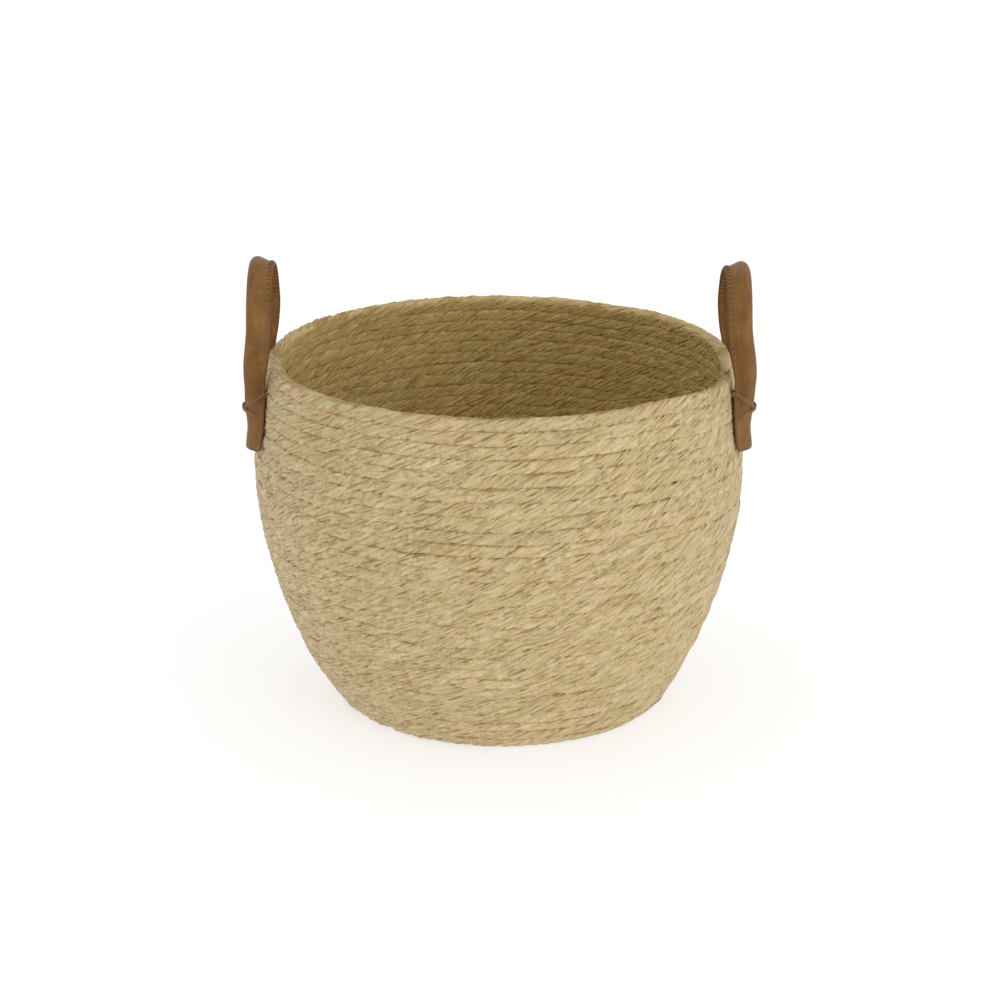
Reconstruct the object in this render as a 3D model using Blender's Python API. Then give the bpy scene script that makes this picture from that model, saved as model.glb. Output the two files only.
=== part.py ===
"""A coiled seagrass storage basket with two leather loop handles.

Metres, +Z up. The origin is the middle of the underside, the handles stand at +X and -X and the
front is towards -Y. One rope, wound from the middle of the base out to its edge and then up the
wall, makes the basket: its stretches are the base spiral, the wall coil and the levelled top course.
Each handle is a leather strap rolled round a cord. Its ends open out into arched tabs that stand on
the wall by their edges, laced through it, and the strap folds just above the lacing.
"""

import math

import bmesh
import bpy
from mathutils import Matrix, Vector

# The rope and the path of its centre up the wall, as (radius, height) of a cubic Bezier curve
ROPE_RADIUS = 0.005
WALL_CURVE = (
    Vector((0.1355, 0.005)),
    Vector((0.1745, 0.0653)),
    Vector((0.2158, 0.1775)),
    Vector((0.1832, 0.2834)),
)
GAP = 0.0003  # between pieces that touch
ROUND_SEGMENTS = 60
WALL_STEPS = 10
RIM_SIDES = 12

# The leather strap where it is rolled round its cord
ROLL_RADIUS = 0.0062
LEATHER = 0.0018
CORD_RADIUS = ROLL_RADIUS - LEATHER - GAP
FLANGE_DEPTH = 0.0115  # from the roll's middle to the sewn edges, towards the basket
FLANGE_HALF = 0.0017  # half the two edges together
SEAM_DEPTH = 0.0090
SEAM_START_Z = 0.2950
THREAD_RADIUS = 0.0006

# The handle's fold line and the arch above it
FOLD_X = 0.1965
FOLD_Z = 0.2735
NECK_CLEARANCE = 0.0015
LEG_Y = 0.049
ROLL_X = 0.1955
ROLL_FULL_Z = 0.300
ARCH_TOP_Z = 0.3693
ARCH_STEPS = 14
NECK_STEPS = 4
NECK_HALF_THICK = 0.0032
NECK_HALF_WIDE = 0.0062
NECK_FLAT_HALF = 0.0037
NECK_ARC = 125  # degrees from straight out to where the strap's edge leaves the round
ROLL_ARC = 160
ROLL_SIDES = 10
CORD_SIDES = 10
THREAD_SIDES = 6
FLANGE_START_Z = 0.290
FLANGE_FULL_Z = 0.306
CORD_START_Z = 0.298

# The arched ends of the strap, laced to the wall
TAB_LOW_Z = 0.2255
TAB_HIGH_Z = 0.2700
TAB_HALF_WIDTH = 0.0150
TAB_NECK_HALF = 0.0070
TAB_CORNER = 0.0050
TAB_THICKNESS = 0.0020
TAB_LIFT = 0.0005  # how far the free lower end stands off the wall
TAB_LIFT_Z = 0.2500  # where it starts to
CORNER_ROWS = 4
UPPER_ROWS = 6
TAB_COLUMNS = 8
ARCH_LOW = 0.0075  # how far the tab's middle stands off the wall at its lower end
ARCH_HIGH = 0.0095  # and at the neck
ARCH_WIDTH = 0.0095
NARROW_START_Z = 0.2500

# The crossed lacing over each tab
LACE_RADIUS = 0.0007
LACE_HOLE_RADIUS = 0.0012
HOLE_SIDES = 8
LACE_LIFT = 0.0004
LACE_LOW = (0.0105, 0.2530)  # half spread across the tab, height
LACE_HIGH = (0.0098, 0.2685)
LACE_INSIDE_LIFT = 0.0008
LACE_BEND = 0.0006
LACE_STEPS = 6

SEAGRASS = ("seagrass", (0.52, 0.40, 0.21), 0.90)
LEATHER_TAN = ("tan_leather", (0.23, 0.115, 0.043), 0.55)
CORD_FIBRE = ("cord_fibre", (0.45, 0.36, 0.24), 0.90)
WAXED_THREAD = ("waxed_thread", (0.33, 0.20, 0.10), 0.60)


def clear_scene():
    for obj in list(bpy.data.objects):
        bpy.data.objects.remove(obj, do_unlink=True)


def make_material(spec):
    """One Principled material for each (name, colour, roughness) above."""
    name, colour, roughness = spec
    material = bpy.data.materials.get(name) or bpy.data.materials.new(name)
    material.use_nodes = True
    shader = material.node_tree.nodes["Principled BSDF"]
    shader.inputs["Base Color"].default_value = (*colour, 1.0)
    shader.inputs["Roughness"].default_value = roughness
    shader.inputs["Metallic"].default_value = 0.0
    return material


def smoothstep(value, low, high):
    share = min(max((value - low) / (high - low), 0.0), 1.0)
    return share * share * (3.0 - 2.0 * share)


def mix(start, end, share):
    return start + (end - start) * share


# ---- the curve of the wall ----


def wall_centre(t):
    a, b, c, d = WALL_CURVE
    s = 1.0 - t
    return a * s**3 + b * 3 * s * s * t + c * 3 * s * t * t + d * t**3


def wall_direction(t):
    a, b, c, d = WALL_CURVE
    s = 1.0 - t
    slope = (b - a) * s * s + (c - b) * 2 * s * t + (d - c) * t * t
    return slope.normalized()


def wall_offset(t, distance):
    """The point at a distance from the rope's centre, outwards at right angles to the wall."""
    along = wall_direction(t)
    outward = Vector((along.y, -along.x))
    return wall_centre(t) + outward * distance


def wall_parameter(height, distance):
    """The curve's parameter where the wall, at this distance from its centre, has a height."""
    low, high = 0.0, 1.0
    for _ in range(40):
        middle = (low + high) / 2
        if wall_offset(middle, distance).y < height:
            low = middle
        else:
            high = middle
    return (low + high) / 2


def wall_radius(height, distance):
    return wall_offset(wall_parameter(height, distance), distance).x


# ---- mesh helpers ----


def unit_circle(sides):
    angles = [2 * math.pi * k / sides for k in range(sides)]
    return [(math.cos(a), math.sin(a)) for a in angles]


def add_object(name, mesh, material, location=(0, 0, 0), turn=0.0, parent=None):
    obj = bpy.data.objects.new(name, mesh)
    bpy.context.scene.collection.objects.link(obj)
    if not mesh.materials:
        mesh.materials.append(material)
    obj.parent = parent
    obj.location = location
    obj.rotation_euler = (0, 0, turn)
    return obj


def finish_mesh(name, bm, sharp_degrees=40):
    bmesh.ops.recalc_face_normals(bm, faces=bm.faces)
    mesh = bpy.data.meshes.new(name)
    bm.to_mesh(mesh)
    bm.free()
    mesh.shade_smooth()
    mesh.set_sharp_from_angle(angle=math.radians(sharp_degrees))
    return mesh


def bridge_rings(bm, rings, closed):
    """Joins equal rings of vertices, each to the next, and the last to the first if closed."""
    count = len(rings[0])
    pairs = list(zip(rings, rings[1:]))
    if closed:
        pairs.append((rings[-1], rings[0]))
    for lower, upper in pairs:
        for i in range(count):
            j = (i + 1) % count
            bm.faces.new((lower[i], lower[j], upper[j], upper[i]))


def turned_mesh(name, outline):
    """A closed outline of (radius, height) points, turned about the Z axis."""
    bm = bmesh.new()
    rings = []
    for x, y in unit_circle(ROUND_SEGMENTS):
        rings.append([bm.verts.new((p.x * x, p.x * y, p.y)) for p in outline])
    bridge_rings(bm, rings, closed=True)
    return finish_mesh(name, bm)


# ---- the basket ----


def make_base(material):
    """The base spiral as a disc one rope thick."""
    bm = bmesh.new()
    radius = WALL_CURVE[0].x - ROPE_RADIUS + GAP
    bmesh.ops.create_circle(bm, cap_ends=True, segments=ROUND_SEGMENTS, radius=radius)
    bmesh.ops.rotate(bm, verts=bm.verts, matrix=Matrix.Rotation(math.pi / 2, 3, "Z"))
    solid = bmesh.ops.extrude_face_region(bm, geom=list(bm.faces))
    top = [v for v in solid["geom"] if isinstance(v, bmesh.types.BMVert)]
    bmesh.ops.translate(bm, verts=top, vec=(0, 0, 2 * ROPE_RADIUS))
    return add_object("base_spiral", finish_mesh("base_spiral", bm), material)


def make_wall(material):
    """The wall coil: one rope thick, standing on its lowest course."""
    top = wall_top_parameter()
    params = [top * k / WALL_STEPS for k in range(WALL_STEPS + 1)]
    base_edge = WALL_CURVE[0].x - ROPE_RADIUS + 2 * GAP
    outline = [Vector((base_edge, 0.0)), Vector((WALL_CURVE[0].x + ROPE_RADIUS / 2, 0.0))]
    outline += [wall_offset(t, ROPE_RADIUS) for t in params]
    outline += [wall_offset(t, -ROPE_RADIUS) for t in reversed(params)]
    return add_object("wall_coil", turned_mesh("wall_coil", outline), material)


def wall_top_parameter():
    """Where the wall coil ends, a rope's radius under the middle of the top course."""
    end = wall_centre(1.0)
    low, high = 0.8, 1.0
    for _ in range(40):
        middle = (low + high) / 2
        if (end - wall_centre(middle)).length > ROPE_RADIUS + GAP:
            low = middle
        else:
            high = middle
    return low


def make_rim(material):
    """The top course as a plain ring of rope."""
    middle = wall_centre(1.0)
    outline = [middle + Vector(spoke) * ROPE_RADIUS for spoke in unit_circle(RIM_SIDES)]
    return add_object("rim_course", turned_mesh("rim_course", outline), material)


# ---- the handles, about their own fold line: X outwards, Y along the fold, Z up ----


def arch_path():
    """Points of the roll's middle from one end to the other, with the leg's share that is rolled."""
    neck_low = NECK_CLEARANCE
    leg_top = ROLL_FULL_Z - FOLD_Z
    rise = ARCH_TOP_Z - ROLL_RADIUS - ROLL_FULL_Z
    leg = []
    for k in range(NECK_STEPS):
        height = mix(neck_low, leg_top, k / NECK_STEPS)
        leg.append((height, smoothstep(height, 0.0, leg_top)))
    outward = ROLL_X - FOLD_X
    path = [(Vector((outward * share, -LEG_Y, height)), share) for height, share in leg]
    for k in range(ARCH_STEPS + 1):
        angle = math.pi * k / ARCH_STEPS
        y = -LEG_Y * math.cos(angle)
        path.append((Vector((outward, y, leg_top + rise * math.sin(angle))), 1.0))
    path += [(Vector((outward * share, LEG_Y, height)), share) for height, share in reversed(leg)]
    return path


def path_normals(points):
    """For each point, the direction in the arch's plane that points out of the arch."""
    normals = []
    last = len(points) - 1
    for k in range(len(points)):
        along = points[min(k + 1, last)] - points[max(k - 1, 0)]
        normals.append(Vector((0, -along.z, along.y)).normalized())
    return normals


def roll_outline(share, flange):
    """The strap's outer edge as (outward, across) points: flat at the neck, then a rolled drop."""
    thick = mix(NECK_HALF_THICK, ROLL_RADIUS, share)
    wide = mix(NECK_HALF_WIDE, ROLL_RADIUS, share)
    reach = mix(thick, FLANGE_DEPTH, flange)
    half = mix(NECK_FLAT_HALF, FLANGE_HALF, share)
    start = math.radians(mix(NECK_ARC, ROLL_ARC, share))
    outline = []
    for k in range(ROLL_SIDES + 1):
        angle = mix(start, -start, k / ROLL_SIDES)
        outline.append((thick * math.cos(angle), wide * math.sin(angle)))
    outline.append((-reach, -half))
    outline.append((-reach, half))
    return outline


def channel_outline(share):
    """The channel that holds the cord: a slit at the neck, then a round bore."""
    thick = mix(NECK_HALF_THICK - LEATHER + GAP, CORD_RADIUS + GAP, share)
    wide = mix(NECK_HALF_WIDE - LEATHER, CORD_RADIUS + GAP, share)
    return [(thick * x, wide * y) for x, y in unit_circle(CORD_SIDES)]


def place_ring(bm, point, normal, outline):
    return [bm.verts.new(point + Vector((out, 0, 0)) + normal * across) for out, across in outline]


def grip_mesh():
    """The rolled leather: outer skin and channel, joined round both open ends."""
    path = arch_path()
    points = [point for point, _ in path]
    normals = path_normals(points)
    bm = bmesh.new()
    skin, channel = [], []
    for (point, share), normal in zip(path, normals):
        flange = smoothstep(point.z + FOLD_Z, FLANGE_START_Z, FLANGE_FULL_Z)
        skin.append(place_ring(bm, point, normal, roll_outline(share, flange)))
        channel.append(place_ring(bm, point, normal, channel_outline(share)))
    bridge_rings(bm, skin, closed=False)
    bridge_rings(bm, channel, closed=False)
    for end in (0, -1):
        edges = [edge_between(skin[end], i) for i in range(len(skin[end]))]
        edges += [edge_between(channel[end], i) for i in range(len(channel[end]))]
        bmesh.ops.bridge_loops(bm, edges=edges)
    return finish_mesh("handle_grip", bm, sharp_degrees=60)


def edge_between(ring, index):
    first, second = ring[index], ring[(index + 1) % len(ring)]
    return next(e for e in first.link_edges if e.other_vert(first) is second)


def core_mesh():
    """The cord inside the roll, plain and round."""
    path = [point for point, share in arch_path() if point.z + FOLD_Z > CORD_START_Z]
    normals = path_normals(path)
    outline = [(CORD_RADIUS * x, CORD_RADIUS * y) for x, y in unit_circle(CORD_SIDES)]
    bm = bmesh.new()
    rings = [place_ring(bm, point, normal, outline) for point, normal in zip(path, normals)]
    bridge_rings(bm, rings, closed=False)
    bm.faces.new(rings[0])
    bm.faces.new(rings[-1])
    return finish_mesh("handle_core", bm)


def thread_loop_mesh(name, points, radius):
    """A closed loop of thread through the points, in order."""
    bm = bmesh.new()
    rings = []
    count = len(points)
    side = Vector((0, 0, 1)).cross(points[1] - points[-1])
    for k in range(count):
        along = (points[(k + 1) % count] - points[k - 1]).normalized()
        side = (side - along * side.dot(along)).normalized()
        other = along.cross(side)
        circle = [(side * x + other * y) * radius for x, y in unit_circle(THREAD_SIDES)]
        rings.append([bm.verts.new(points[k] + spoke) for spoke in circle])
    bridge_rings(bm, rings, closed=False)
    close_twisted(bm, rings[-1], rings[0])
    return finish_mesh(name, bm)


def close_twisted(bm, last, first):
    """Joins the last ring to the first at the turn that lines them up best."""
    count = len(first)

    def misfit(turn):
        return sum((last[i].co - first[(i + turn) % count].co).length for i in range(count))

    turn = min(range(count), key=misfit)
    for i in range(count):
        j = (i + 1) % count
        bm.faces.new((last[i], last[j], first[(j + turn) % count], first[(i + turn) % count]))


def seam_mesh():
    """The sewing thread: along one face of the sewn edges, round their ends and back."""
    start = Vector((ROLL_X - FOLD_X, -LEG_Y, SEAM_START_Z - FOLD_Z))
    end = Vector((start.x, LEG_Y, start.z))
    rolled = [point for point, share in arch_path() if point.z > ROLL_FULL_Z - FOLD_Z - GAP]
    path = [start] + rolled + [end]
    normals = path_normals(path)
    reach = FLANGE_HALF + GAP + THREAD_RADIUS * 1.1
    inward = Vector((-SEAM_DEPTH, 0, 0))
    outer = [p + inward + n * reach for p, n in zip(path, normals)]
    inner = [p + inward - n * reach for p, n in zip(path, normals)]
    return thread_loop_mesh("handle_seam", outer + inner[::-1], THREAD_RADIUS)


# ---- the tabs and their lacing, about the Z axis, with the tab's middle at +X ----


def tab_half_width(height):
    low = height - TAB_LOW_Z
    half = TAB_HALF_WIDTH
    if low < TAB_CORNER:
        half -= TAB_CORNER - math.sqrt(low * (2 * TAB_CORNER - low))
    narrow = smoothstep(height, NARROW_START_Z, TAB_HIGH_Z)
    return mix(half, TAB_NECK_HALF, narrow)


def tab_back(across, height):
    """How far the tab's back is from the wall: close at the edges, arched in the middle."""
    lift = TAB_LIFT * (1.0 - smoothstep(height, TAB_LOW_Z, TAB_LIFT_Z))
    arch = mix(ARCH_LOW, ARCH_HIGH, smoothstep(height, TAB_LOW_Z, TAB_HIGH_Z))
    return GAP + lift + arch * math.exp(-((across / ARCH_WIDTH) ** 2))


def tab_face(across, height):
    return tab_back(across, height) + TAB_THICKNESS


def on_wall(across, height, distance):
    """A point beside the wall, at a distance from its surface and a length round it."""
    t = wall_parameter(height, ROPE_RADIUS)
    point = wall_offset(t, ROPE_RADIUS + distance)
    angle = across / wall_offset(t, ROPE_RADIUS).x
    return Vector((point.x * math.cos(angle), point.x * math.sin(angle), point.y))


def tab_heights():
    """Rows up the tab, closer together round its lower corners."""
    bends = [math.pi / 2 * k / CORNER_ROWS for k in range(CORNER_ROWS)]
    corner = [TAB_LOW_Z + TAB_CORNER * (1 - math.cos(bend)) for bend in bends]
    above = TAB_LOW_Z + TAB_CORNER
    return corner + [mix(above, TAB_HIGH_Z, k / UPPER_ROWS) for k in range(UPPER_ROWS + 1)]


def tab_mesh():
    """An arched plate of leather, its lower corners round and its upper end narrowed to the neck."""
    bm = bmesh.new()
    rings = []
    for height in tab_heights():
        half = tab_half_width(height)
        across = [mix(-half, half, k / TAB_COLUMNS) for k in range(TAB_COLUMNS + 1)]
        face = [bm.verts.new(on_wall(a, height, tab_face(a, height))) for a in across]
        back = [bm.verts.new(on_wall(a, height, tab_back(a, height))) for a in reversed(across)]
        rings.append(face + back)
    bridge_rings(bm, rings, closed=False)
    count = 2 * (TAB_COLUMNS + 1)
    for ring in (rings[0], rings[-1]):
        for k in range(TAB_COLUMNS):
            bm.faces.new((ring[k], ring[k + 1], ring[count - 2 - k], ring[count - 1 - k]))
    return finish_mesh("tab", bm)


def lace_crossing(start, end, extra):
    """Points of one outer strand, from corner to corner over the strap."""
    points = []
    for k in range(LACE_STEPS + 1):
        share = k / LACE_STEPS
        across = mix(start[0], end[0], share)
        height = mix(start[1], end[1], share)
        lift = LACE_LIFT + LACE_RADIUS + extra * math.sin(math.pi * share)
        points.append(on_wall(across, height, tab_face(across, height) + lift))
    return points


def lace_mesh():
    """One thread: across the tab, in through the wall, along its inside, and so round again."""
    low_left = (-LACE_LOW[0], LACE_LOW[1])
    low_right = LACE_LOW
    high_left = (-LACE_HIGH[0], LACE_HIGH[1])
    high_right = LACE_HIGH
    over = 2 * LACE_RADIUS + GAP
    strands = [lace_crossing(low_left, high_right, 0.0), lace_crossing(low_right, high_left, over)]
    inside = -(2 * ROPE_RADIUS + LACE_INSIDE_LIFT + LACE_RADIUS)
    right_in = [on_wall(a, z, inside) for a, z in (high_right, low_right)]
    left_in = [on_wall(a, z, inside) for a, z in (high_left, low_left)]
    points = strands[0] + right_in + strands[1] + left_in
    return thread_loop_mesh("lace", round_corners(points, LACE_BEND), LACE_RADIUS)


def round_corners(points, size):
    """Takes each sharp corner off a closed path, with a point on either side of it."""
    count = len(points)
    rounded = []
    for k, point in enumerate(points):
        before = (points[k - 1] - point).normalized()
        after = (points[(k + 1) % count] - point).normalized()
        if before.dot(after) > -0.6:
            rounded += [point + before * size, point + after * size]
        else:
            rounded.append(point)
    return rounded


def lace_hole_mesh():
    """The cutter for the four holes that the lace goes through."""
    bm = bmesh.new()
    for across, height in (LACE_LOW, LACE_HIGH):
        for side in (-1, 1):
            outer = on_wall(side * across, height, 2 * ROPE_RADIUS)
            inner = on_wall(side * across, height, -3 * ROPE_RADIUS)
            middle = (outer + inner) / 2
            along = outer - inner
            turn = along.to_track_quat("Z", "Y").to_matrix().to_4x4()
            bmesh.ops.create_cone(
                bm,
                cap_ends=True,
                segments=HOLE_SIDES,
                radius1=LACE_HOLE_RADIUS,
                radius2=LACE_HOLE_RADIUS,
                depth=along.length,
                matrix=Matrix.Translation(middle) @ turn,
            )
    return finish_mesh("lace_holes", bm)


def cut(obj, cutter):
    boolean = obj.modifiers.new("lace_holes", "BOOLEAN")
    boolean.operation = "DIFFERENCE"
    boolean.solver = "EXACT"
    boolean.object = cutter


def make_handle(side, turn, meshes, materials):
    """One handle on the empty at its fold line, which a half turn takes to the other side."""
    hinge = bpy.data.objects.new(f"{side}_handle_fold", None)
    bpy.context.scene.collection.objects.link(hinge)
    hinge.location = Matrix.Rotation(turn, 3, "Z") @ Vector((FOLD_X, 0, FOLD_Z))
    hinge.rotation_euler = (0, 0, turn)
    for piece, mesh in meshes.items():
        add_object(f"{side}_handle_{piece}", mesh, materials[piece], parent=hinge)


def main():
    clear_scene()
    seagrass = make_material(SEAGRASS)
    leather = make_material(LEATHER_TAN)
    fibre = make_material(CORD_FIBRE)
    thread = make_material(WAXED_THREAD)

    make_base(seagrass)
    wall = make_wall(seagrass)
    make_rim(seagrass)

    handle_meshes = {"grip": grip_mesh(), "core": core_mesh(), "seam": seam_mesh()}
    handle_materials = {"grip": leather, "core": fibre, "seam": thread}
    make_handle("right", 0.0, handle_meshes, handle_materials)
    make_handle("left", math.pi, handle_meshes, handle_materials)

    tab, lace, holes = tab_mesh(), lace_mesh(), lace_hole_mesh()
    spread = math.asin(LEG_Y / wall_radius(TAB_HIGH_Z, ROPE_RADIUS))
    places = {
        "right_front": -spread,
        "right_rear": spread,
        "left_front": math.pi + spread,
        "left_rear": math.pi - spread,
    }
    for place, turn in places.items():
        cutter = add_object(f"{place}_lace_holes", holes, leather, turn=turn)
        cutter.hide_render = True
        cutter.display_type = "WIRE"
        plate = add_object(f"{place}_tab", tab, leather, turn=turn)
        add_object(f"{place}_lashing", lace, thread, turn=turn)
        cut(plate, cutter)
        cut(wall, cutter)


main()
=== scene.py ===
"""Looks of the coiled seagrass basket: one twisted rope, two rolled leather handles, crossed lacing.

Metres, +Z up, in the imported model's frame. The handles stand at +X and -X, the front is towards -Y.
"""

import math

import bmesh
import bpy
import numpy as np
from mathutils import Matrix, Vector


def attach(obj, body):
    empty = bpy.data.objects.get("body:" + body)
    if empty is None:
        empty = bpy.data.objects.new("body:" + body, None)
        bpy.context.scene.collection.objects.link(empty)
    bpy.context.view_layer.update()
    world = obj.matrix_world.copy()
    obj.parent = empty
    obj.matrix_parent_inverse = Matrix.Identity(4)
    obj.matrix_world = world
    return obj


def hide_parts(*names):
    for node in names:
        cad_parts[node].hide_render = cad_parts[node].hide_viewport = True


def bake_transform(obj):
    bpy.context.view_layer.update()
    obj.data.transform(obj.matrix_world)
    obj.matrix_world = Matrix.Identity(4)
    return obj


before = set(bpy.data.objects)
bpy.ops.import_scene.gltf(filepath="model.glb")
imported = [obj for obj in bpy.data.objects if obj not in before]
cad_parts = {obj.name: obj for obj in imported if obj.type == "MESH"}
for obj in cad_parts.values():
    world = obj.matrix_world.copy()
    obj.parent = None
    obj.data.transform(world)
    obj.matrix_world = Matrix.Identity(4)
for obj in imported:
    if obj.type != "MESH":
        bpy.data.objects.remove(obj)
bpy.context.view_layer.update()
SEED = 7

# ---- the rope's path: the same figures as the CAD ----
ROPE_RADIUS = 0.005
PITCH = 0.010
WALL_CURVE = ((0.1355, 0.005), (0.1745, 0.0653), (0.2158, 0.1775), (0.1832, 0.2834))
BASE_START = 0.0030  # radius where the spiral starts: under half a rope, so that no hole is left
START_BACK = 0.0045  # and its end reaches back past the middle
START_RUN = 0.020
ROPE_END_ANGLE = math.radians(-12)  # where the top course ends, behind the right handle
RISE_SHARE = (0.005, 0.11)  # part of a turn, past the end, where the top courses climb
LEVEL_TURNS = 1.5  # turns that are fully levelled
LEVEL_FADE_TURNS = 10
LEVEL_LEAST = 0.2
TAIL_LENGTH = 0.045
BASE_SHIFT = 0.0025  # the hand-made base sits a little to one side
BASE_TUCK = 0.0012  # and is drawn in a little
BASE_SHIFT_HEIGHT = 0.050

# ---- the rope's own shape ----
BLADES = 12
BLADE_POINTS = 4
RING_STEP = 0.0020
LEAD = 0.082  # length of one full twist
LEAD_DRIFT = 0.5  # how far the twist runs ahead or behind, in radians
GROOVE = 0.07  # groove depth between blades, as a share of the radius
GROOVE_OPEN = 0.13  # the same where two blades part
BLADE_WIDTH_DRIFT = 0.32  # of a blade's width
SQUARENESS = 5.0  # 2 is round; neighbours press the courses flatter where they touch
ACROSS_HALF = 0.0064  # more than half the pitch, so that the courses press into each other
OUT_HALF = 0.0049
TOP_ROUNDER = 0.0005  # the top courses are less pressed together
BLADE_RISE = 0.00030
BLADE_SPILL = 0.14  # how far single blades lap over the next course, as a share
SURFACE_RISE = 0.00012
THICKNESS_DRIFT = 0.04
PATH_DRIFT = 0.00025
ROPE_PIECE_RINGS = 2400

# ---- the leather strap: one strip, arched at its two ends and rolled round a cord between them ----
LEATHER = 0.0018
ROLL_NEUTRAL = 0.0051  # radius of the strip's middle where it is rolled
ROLL_RADIUS = ROLL_NEUTRAL + LEATHER / 2
CORD_RADIUS = 0.0040
ROLL_CLOSE = math.radians(25.7)  # how far past a half turn each side goes
STRAIGHT = 0.0086  # the flat side between the roll and the sewn edges
COUNTER_RADIUS = 0.0030  # of the bend into the sewn edges
FLANGE = 0.0020  # width of the edges where they lie together
LEG_Y = 0.049
ARCH_START_Z = 0.300
CORD_START_Z = ARCH_START_Z - 0.003
SEWN_START_Z = ARCH_START_Z + 0.001
ARCH_TOP = {"right": 0.3640, "left": 0.3690}
WALL_RADIUS = 0.195  # behind the tabs
TAB_LOW_Z = 0.2255
TAB_HIGH_Z = 0.270  # the CAD tab's upper end
TAB_HALF_WIDTH = 0.0176
TAB_CORNER = 0.0050
TAB_GAP = 0.0009
TAB_LIFT = 0.0004  # the free lower end stands off the wall
TAB_LIFT_Z = 0.250
TAB_CURL = 0.37  # how rolled the strip still is at its ends, which stand on the wall by their edges
CURL_Z = (0.238, 0.278)  # where the strip's middle goes on to fully rolled
EDGE_CURL_Z = (0.256, 0.300)  # where its edges do: lower down they flare like a brim
CROWN_Z = (0.258, 0.284)  # where it goes from standing on the wall to upright
WIDEN_Z = (0.262, 0.303)
TURN_Z = (0.260, 0.290)  # where it turns from facing straight off the wall to facing outwards
CROWN_OUT = {"right": 0.2016, "left": 0.2006}  # outermost X of the upright roll
CROWN_SWELL = 0.0030  # more just above the lacing
SWELL_Z = (0.288, 0.325)
STRIP_POINTS = 18
STRIP_FINE_STEPS = 160
CORNER_STEPS = 9
ARCH_STEPS = 48
STRIP_STEP = 0.0016
STRAP_WOBBLE = 0.0005

# ---- threads ----
STITCH_PITCH = 0.0046
STITCH_BORDER = 0.0011
STITCH_LENGTH = 0.0031
STITCH_RADIUS = 0.00050
LACE_RADIUS = 0.00072
LACE_Z = (0.2535, 0.2690)
LACE_LOW_SHARE = 0.6  # of the strap's half width, where the low holes go through the leather
LACE_TURNS = 2
LACE_HUMP = 1.6  # lace radii that the upper strand rises where it crosses the lower one
LACE_INSIDE = 1.3  # rope radii into the wall, between two courses
LACE_SPACING = 0.0015
LACE_LOOK_Z = ARCH_START_Z + 0.01  # the part of the strap that the lacing is fitted to
LACE_HUMP_SHARE = 0.14  # of a strand's length
LACE_STEPS = 25

# Painted shade: the first colour of each pair is the shade in the grooves between a thread's strands, the
# second the colour of their crests.
CORD_SHADE, CORD_LIGHT = (0.30, 0.23, 0.14), (0.55, 0.45, 0.31)
YARN_SHADE, YARN_LIGHT = (0.15, 0.075, 0.028), (0.30, 0.165, 0.075)

rng = np.random.default_rng(SEED)


def smoothstep(value, low, high):
    share = np.clip((value - low) / (high - low), 0.0, 1.0)
    return share * share * (3.0 - 2.0 * share)


def mix(start, end, share):
    return start + (end - start) * share


def unit(vectors):
    return vectors / np.linalg.norm(vectors, axis=-1, keepdims=True)


def run_along(points):
    """The length from the first point to each of them."""
    return np.concatenate([[0], np.cumsum(np.linalg.norm(np.diff(points, axis=0), axis=1))])


def drift(positions, spacing, columns=1):
    """Smooth random values along a length, one column each, about 0 with a spread of 1."""
    place = positions / spacing
    knots = rng.normal(size=(int(place.max()) + 3, columns))
    low = np.floor(place).astype(int)
    share = smoothstep(place - low, 0.0, 1.0)[:, None]
    return knots[low] * (1 - share) + knots[low + 1] * share


# ---- the rope ----


def meridian():
    """The rope centre's profile, from the middle of the base to the rim: length, place, normal."""
    base = np.column_stack([np.linspace(0, WALL_CURVE[0][0], 200), np.full(200, ROPE_RADIUS)])
    t = np.linspace(0, 1, 600)[1:, None]
    a, b, c, d = (np.array(p) for p in WALL_CURVE)
    s = 1 - t
    wall = a * s**3 + 3 * b * s * s * t + 3 * c * s * t * t + d * t**3
    points = np.vstack([base, wall])
    lengths = run_along(points)
    slope = np.gradient(points, lengths, axis=0)
    kernel = np.ones(25) / 25
    padded = np.pad(slope, ((12, 12), (0, 0)), mode="edge")
    smooth = np.column_stack([np.convolve(padded[:, k], kernel, mode="valid") for k in (0, 1)])
    smooth /= np.linalg.norm(smooth, axis=1)[:, None]
    normals = np.column_stack([smooth[:, 1], -smooth[:, 0]])
    return lengths, points, normals


def rope_path():
    """Even points along the rope: place, outward normal, turns before the end, length."""
    lengths, points, normals = meridian()
    total = lengths[-1]
    turns = (total - BASE_START) / PITCH
    u = np.linspace(-turns, 0, 160000)
    part = u - np.floor(u)
    stepped = np.floor(u) + smoothstep(part, *RISE_SHARE)
    fade = smoothstep(-u, LEVEL_TURNS, LEVEL_TURNS + LEVEL_FADE_TURNS)
    level = mix(1.0, LEVEL_LEAST, fade) * smoothstep(u + turns, 12, 18)
    along = total + PITCH * mix(u, np.minimum(stepped, 0), level)
    along = np.clip(along, 0, total)
    angle = ROPE_END_ANGLE - 2 * math.pi * u
    radius = np.interp(along, lengths, points[:, 0])
    height = np.interp(along, lengths, points[:, 1])
    out = np.interp(along, lengths, normals[:, 0])
    up = np.interp(along, lengths, normals[:, 1])
    low = 1 - smoothstep(height, 0, BASE_SHIFT_HEIGHT)
    shift = BASE_SHIFT * low
    radius = radius * (1 - BASE_TUCK / WALL_CURVE[0][0] * low)
    place = np.column_stack([radius * np.cos(angle) + shift, radius * np.sin(angle), height])
    normal = np.column_stack([out * np.cos(angle), out * np.sin(angle), up])
    heading = unit(place[100] - place[0])
    back = START_BACK * (1 - smoothstep(run_along(place), 0, START_RUN))
    place = place - heading * back[:, None]
    run = run_along(place)
    even = np.arange(0, run[-1], RING_STEP)
    pick = [np.interp(even, run, column) for column in (*place.T, *normal.T, u)]
    return np.column_stack(pick[:3]), np.column_stack(pick[3:6]), pick[6], even


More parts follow.
